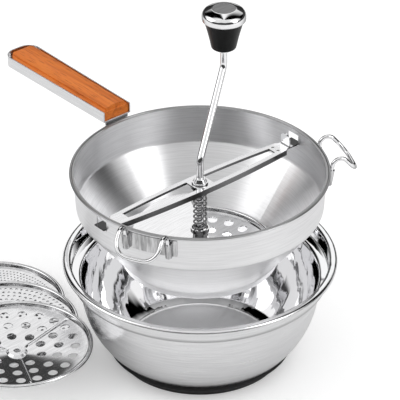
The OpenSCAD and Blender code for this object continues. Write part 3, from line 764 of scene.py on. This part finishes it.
discSheet = {
    "thickness": 0.0009,  # metres
    "lip": 0.004,         # rise of the folded lip above the dish
    "flange": 0.0054,     # from the dish's edge out to the rim
    "footIn": 0.0042,     # rounding at the lip's foot: inwards of the rim, and its radius
    "footRound": 0.0012,
    "foldIn": 0.0019,     # rounding of the fold: inwards of the rim, below the top, and its radius
    "foldDrop": 0.0011,
    "foldRound": 0.001,
    "hem": 0.0022,        # depth of the folded edge
    "boss": 0.009,        # radius of the raised middle
    "bossRise": 0.0016,
    "bossTop": 0.0018,    # width of its slope, above and below
    "bossUnder": 0.0026,
    "bore": 0.00306,
    "ribWidth": 0.0044,
    "ribRise": 0.0008,
    "ribStart": 0.001,    # from boss and edge to a rib's ends
    "ribRamp": 0.003,     # over which it rises
    "ribStep": 0.002,     # spacing of the points along it
    "ribLines": 9,
    "ribTurn": math.pi / 6,
    "ribGap": 0.0006,     # least gap from a rib and from the edge to a hole
    "edgeGap": 0.0008,
    "slopeSpan": 0.0001,  # between the two places that give a slope
    "sheetFacing": 0.8,   # least upward share of a normal that counts as sheet
    "turnSteps": 180,
    "batches": 12,        # of holes, to spare memory
    "nearly": 1e-6,       # metres, for middles that lie on the boss's edge
}
# Metres: a hole's width, the step from circle to circle, the spacing along one and the first one's
# radius. Then a hole's sides, and the disc's turn in degrees.
discPlaces = {
    "fitted_disc": {"hole": 0.0084, "row": 0.014, "pitch": 0.013, "first": 0.022, "sides": 20,
                    "turn": 15},
    "spare_disc_coarse": {"hole": 0.0084, "row": 0.014, "pitch": 0.013, "first": 0.022,
                          "sides": 20, "turn": 214.5},
    "spare_disc_medium": {"hole": 0.0027, "row": 0.0047, "pitch": 0.0048, "first": 0.0145,
                          "sides": 10, "turn": 179.5},
    "spare_disc_fine": {"hole": 0.0015, "row": 0.0032, "pitch": 0.0032, "first": 0.0135,
                        "sides": 8, "turn": 149.5},
}
third = math.tau / 3


# Centres of the holes: on each circle, three arcs between the ribs, each with an even spacing.
def holeCentres(place, edge):
    clear = place["hole"] / 2 + discSheet["ribWidth"] / 2 + discSheet["ribGap"]
    last = edge - place["hole"] / 2 - discSheet["edgeGap"]
    rows = []
    for radius in np.arange(place["first"], last, place["row"]):
        free = third - 2 * math.asin(clear / radius)
        count = int(free * radius / place["pitch"]) + 1
        if count > 1:
            a = discSheet["ribTurn"] + math.asin(clear / radius) + np.linspace(0, free, count)
            a = (a[None] + np.arange(3)[:, None] * third).ravel()
            rows.append(np.stack([radius * np.cos(a), radius * np.sin(a)], 1))
    return np.vstack(rows)


# Height of the sheet at flat places: a straight slope from boss to edge, and across each of three
# radii a rib whose height is (1 - u squared) squared, where u runs from -1 to 1 over its width.
def sheetHeight(flat, dish, boss, edge):
    radius = np.linalg.norm(flat, axis=1)
    angle = np.arctan2(flat[:, 1], flat[:, 0]) - discSheet["ribTurn"]
    off = radius * np.sin((angle + third / 2) % third - third / 2)
    ridge = np.clip(1 - (off / discSheet["ribWidth"] * 2) ** 2, 0, 1) ** 2
    start, ramp = discSheet["ribStart"], discSheet["ribRamp"]
    ends = (np.clip((radius - boss - start) / ramp, 0, 1)
            * np.clip((edge - start - radius) / ramp, 0, 1))
    return dish * (radius - boss) / (edge - boss) + discSheet["ribRise"] * ridge * ends


# One value or vector for each item of a mesh, as rows of an array.
def readOut(items, key, width, kind=float):
    values = np.empty(len(items) * width, kind)
    items.foreach_get(key, values)
    return values.reshape(-1, width)


# Gives the corners of the sheet's faces the normal of the height formula: the slope is taken
# between two places a short span apart. Walls of holes, boss and lip keep their own.
def smoothSheet(mesh, centre, turn, form):
    boss, edge = form[1:]
    span = discSheet["slopeSpan"]
    normals = readOut(mesh.corner_normals, "vector", 3)
    owner = readOut(mesh.loops, "vertex_index", 1, int).ravel()
    sizes = readOut(mesh.polygons, "loop_total", 1, int).ravel()
    up = np.repeat(readOut(mesh.polygons, "normal", 3)[:, 2], sizes)
    flat = turnedPoints(readOut(mesh.vertices, "co", 3)[owner, :2] - centre, -turn)
    radius = np.linalg.norm(flat, axis=1)
    slopes = [(sheetHeight(flat - away, *form) - sheetHeight(flat + away, *form)) / span
              for away in np.eye(2) * span / 2]
    smooth = turnedPoints(np.column_stack(slopes + [np.ones(len(flat))]), turn)
    smooth /= np.linalg.norm(smooth, axis=1)[:, None]
    chosen = np.abs(up) > discSheet["sheetFacing"]
    chosen &= (radius > boss + span) & (radius < edge - span)
    normals[chosen] = (smooth * np.sign(up)[:, None])[chosen]
    mesh.normals_split_custom_set(normals.tolist())


# Pairs that close a run of points into a ring.
def closedEdges(count):
    loop = np.arange(count)
    return np.stack([loop, np.roll(loop, -1)], 1)


# The sheet seen from above: a triangulation of the edges of holes, boss and rim and of points along
# the ribs. Triangles whose middle lies in a hole or in the boss are dropped, and the rest turn the
# same way. Gives places, triangles and the edges of the holes.
def discPlan(place, boss, edge):
    steps, sides, hole = discSheet["turnSteps"], place["sides"], place["hole"] / 2
    centres, circle = holeCentres(place, edge), unitCircle(steps)
    holes = (centres[:, None] + hole * unitCircle(sides)).reshape(-1, 2)
    start = discSheet["ribStart"]
    along, off = np.meshgrid(
        np.arange(boss + start, edge - start, discSheet["ribStep"]),
        np.linspace(-0.5, 0.5, discSheet["ribLines"]) * discSheet["ribWidth"], indexing="ij")
    rib = np.stack([along, off], 2).reshape(-1, 2)
    ribs = [turnedPoints(rib, discSheet["ribTurn"] + k * third) for k in range(3)]
    flat = np.vstack([holes, boss * circle, edge * circle] + ribs)
    holeEdges = np.vstack([closedEdges(sides) + i * sides for i in range(len(centres))])
    rings = np.vstack([closedEdges(steps) + len(holes) + i * steps for i in range(2)])
    made = delaunay_2d_cdt([Vector(p) for p in (flat * 1000).tolist()],  # in millimetres
                           np.vstack([holeEdges, rings]).tolist(), [], 0, 1e-6)
    newPlace = np.empty(len(flat), int)
    newPlace[[before[0] for before in made[3]]] = np.arange(len(made[0]))
    flat = np.array([tuple(p) for p in made[0]]) / 1000
    tris = np.array([face for face in made[2] if len(face) == 3])
    middle = flat[tris].mean(1)
    inHole = np.zeros(len(tris), bool)
    for part in np.array_split(np.arange(len(centres)), discSheet["batches"]):
        apart = np.linalg.norm(middle[:, None] - centres[None, part], axis=2)
        inHole |= (apart < hole * math.cos(math.pi / sides)).any(1)
    inBoss = (np.linalg.norm(middle, axis=1)
              <= boss * math.cos(math.pi / steps) - discSheet["nearly"])
    tris = tris[~inHole & ~inBoss]
    a, b = flat[tris[:, 1]] - flat[tris[:, 0]], flat[tris[:, 2]] - flat[tris[:, 0]]
    clockwise = a[:, 0] * b[:, 1] < a[:, 1] * b[:, 0]
    tris[clockwise] = tris[clockwise][:, ::-1]
    return flat, tris, newPlace[holeEdges]


# A dished disc with its holes cut right through: the sheet twice, a thickness apart, with walls in
# the holes, and its lip and boss as profiles turned round the axis.
def perforatedDisc(name, place):
    low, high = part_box(name)
    rim = (high.x - low.x + high.y - low.y) / 4
    part, sheet, boss = discSheet, discSheet["thickness"], discSheet["boss"]
    dish, edge = high.z - low.z - sheet - part["lip"], rim - part["flange"]
    top = dish + part["lip"]
    form = (dish, boss, edge)  # what the height depends on
    flat, tris, holeEdges = discPlan(place, boss, edge)
    height = sheetHeight(flat, *form)
    first, second = holeEdges.T
    count = len(flat)
    walls = np.stack([second, first, first + count, second + count], 1)
    footRound, foldRound = part["footRound"], part["foldRound"]
    outer = foldedSheet(np.vstack([
        [[edge, dish]],
        arcPoints((rim - part["footIn"], dish + footRound), footRound, -80, -15, 5),
        arcPoints((rim - part["foldIn"], top - part["foldDrop"]), foldRound, 165, 10, 9),
        [[rim - sheet, top - part["hem"]]]]), sheet)
    outer[-1] = (edge, dish + sheet)
    rise, bore = part["bossRise"], part["bore"]
    inner = np.array([[boss, sheet], [boss - part["bossTop"], sheet + rise], [bore, sheet + rise],
                      [bore, rise], [boss - part["bossUnder"], rise], [boss, 0]])
    outerPoints, outerFaces = turnedGrid(outer, part["turnSteps"])
    innerPoints, innerFaces = turnedGrid(inner, part["turnSteps"])
    turn, centre = math.radians(place["turn"]), np.array([low.x + high.x, low.y + high.y]) / 2
    points = turnedPoints(np.vstack([
        np.column_stack([flat, height + sheet]), np.column_stack([flat, height]),
        outerPoints, innerPoints]), turn) + [*centre, low.z]
    groups = [tris, tris[:, ::-1] + count, walls, outerFaces + 2 * count,
              innerFaces + 2 * count + len(outerPoints)]
    faces = [face for group in groups for face in group.tolist()]
    disc = finishedPiece(name + "_sheet", points, faces, "discSteel", name)
    smoothSheet(disc.data, centre, turn, form)
    print(disc.name, len(disc.data.polygons), "faces")


for name, place in discPlaces.items():
    perforatedDisc(name, place)


studio = {
    "lamps": {  # place, target, size, watts, shape; right and left are as seen from the camera
        "rightSoftbox": ((0.54, -1.37, 1.0), (0, 0, 0.12), (0.75, 1.4), 6.0, "RECTANGLE"),
        "leftSoftbox": ((-1.24, 0.79, 1.0), (0, 0, 0.12), (1.2, 1.4), 3.4, "RECTANGLE"),
        "bowlSoftbox": ((0, 0, 0.025), (0, 0, 1), (0.146, 0.146), 0.040, "DISK"),
    },
    "worldLevel": 0.87,       # light that reaches matt surfaces from all round
    "frontLevel": 0.80,       # what polished steel sees high up on the camera's side
    "sideLevel": 0.95,        # high up to the left and right
    "backLevel": 1.0,         # and high up behind
    "darkLevel": 0.05,        # what it sees low down
    "darkStrips": {1: (114, 0.52, 1.0), -1: (133, 0.30, 1.0)},  # degrees, width, depth
    "stripEdge": (0.4, 1.0),  # where a strip starts to fade and ends, in its half widths
    "turnOver": 0.3,          # how far one side of the world blends into the other
    "edge": (0.20, 0.02, 0.28),  # top of the dark: sides, more in front, more at both ends
    "edgeSoftness": 0.03,
    "edgeWaves": (9, 4, 0.03),  # how often they come, across and back, and their height
    "floorSize": 3.0,         # metres, from the middle to each side
    "floorColour": (0.88, 0.88, 0.88),
    "floorLift": 0.27,        # paler floor for the camera alone
}


# A flat lamp of the given size that shines from its place to its target.
def areaLamp(name, place, target, size, power, shape):
    lamp = bpy.data.lights.new(name, "AREA")
    lamp.shape = shape
    lamp.size, lamp.size_y = size
    lamp.energy = power
    obj = bpy.data.objects.new(name, lamp)
    bpy.context.scene.collection.objects.link(obj)
    aimedAt(obj, place, target)


# A plain square. What the camera sees of it is its lit matt colour plus a steady lift.
def makeFloor():
    size = studio["floorSize"]
    mesh = bpy.data.meshes.new("studioFloor")
    places = [(-size, -size, 0), (size, -size, 0), (size, size, 0), (-size, size, 0)]
    mesh.from_pydata(places, [], [(0, 1, 2, 3)])
    floor = bpy.data.objects.new("studioFloor", mesh)
    bpy.context.scene.collection.objects.link(floor)
    r = Recipe("studioFloor")
    matt = r.node("ShaderNodeBsdfDiffuse", {}, {"Color": (*studio["floorColour"], 1)})
    lift = r.ray("Is Camera Ray") * studio["floorLift"]
    glow = r.node("ShaderNodeEmission", {}, {"Color": (1, 1, 1, 1), "Strength": lift})
    mesh.materials.append(r.finish(r.node("ShaderNodeAddShader", {}, {0: matt, 1: glow})))


# White behind everything. Polished steel sees white high up and dark low down. With f the cosine
# of the turn away from the camera and g its sine to the right, the edge between them lies at
# a + b f + c f squared, with small waves. The white has a level in front, one behind, and one to
# both sides by (1 - f squared) cubed. A strip on each side (1 right, -1 left) is darker: it lies at
# so many degrees from the camera, is so wide to each side in f, and so deep.
def makeWorld():
    world = bpy.data.worlds.new("studio")
    bpy.context.scene.world = world
    world.use_nodes = True
    r = Recipe("studio", world.node_tree)
    x, y, z = r.parts(r.node("ShaderNodeTexCoord", output=0))
    flat = (x * x + y * y).power(0.5) + 0.001  # never quite 0
    turn = math.radians(view["azimuth"])
    f = (x * math.sin(turn) - y * math.cos(turn)) / flat
    g = (x * math.cos(turn) + y * math.sin(turn)) / flat
    a, b, c = studio["edge"]
    acrossWaves, backWaves, swing = studio["edgeWaves"]
    waves = (g * acrossWaves + f * backWaves).sine() * swing
    edge = f * b + f * f * c + a + waves
    white = (z - edge).step(-studio["edgeSoftness"], studio["edgeSoftness"])
    side = (1 - f * f).power(3)
    over, front = studio["turnOver"], studio["frontLevel"]
    ends = (0 - f).step(-over, over) * (studio["backLevel"] - front) + front
    level = ends * (1 - side) + side * studio["sideLevel"]
    for hand, (away, width, depth) in studio["darkStrips"].items():
        off = ((f - math.cos(math.radians(away))) / width).size().step(*studio["stripEdge"])
        level = level * (1 - (1 - off) * (g * hand).step(0.0, over) * depth)
    mirror = white * (level - studio["darkLevel"]) + studio["darkLevel"]
    isCamera, isGlossy = r.ray("Is Camera Ray"), r.ray("Is Glossy Ray")
    strength = isGlossy * mirror + (1 - isGlossy) * studio["worldLevel"]
    strength = isCamera + (1 - isCamera) * strength
    background = r.node("ShaderNodeBackground", {}, {"Color": (1, 1, 1, 1), "Strength": strength})
    r.finish(background, "ShaderNodeOutputWorld")


makeFloor()
makeWorld()
for name, lamp in studio["lamps"].items():
    areaLamp(name, *lamp)
bpy.context.scene.view_settings.view_transform = "Standard"
print("studio built")


# A box's lowest and highest corners as plain lists.
def corners(box):
    return [list(corner) for corner in box]
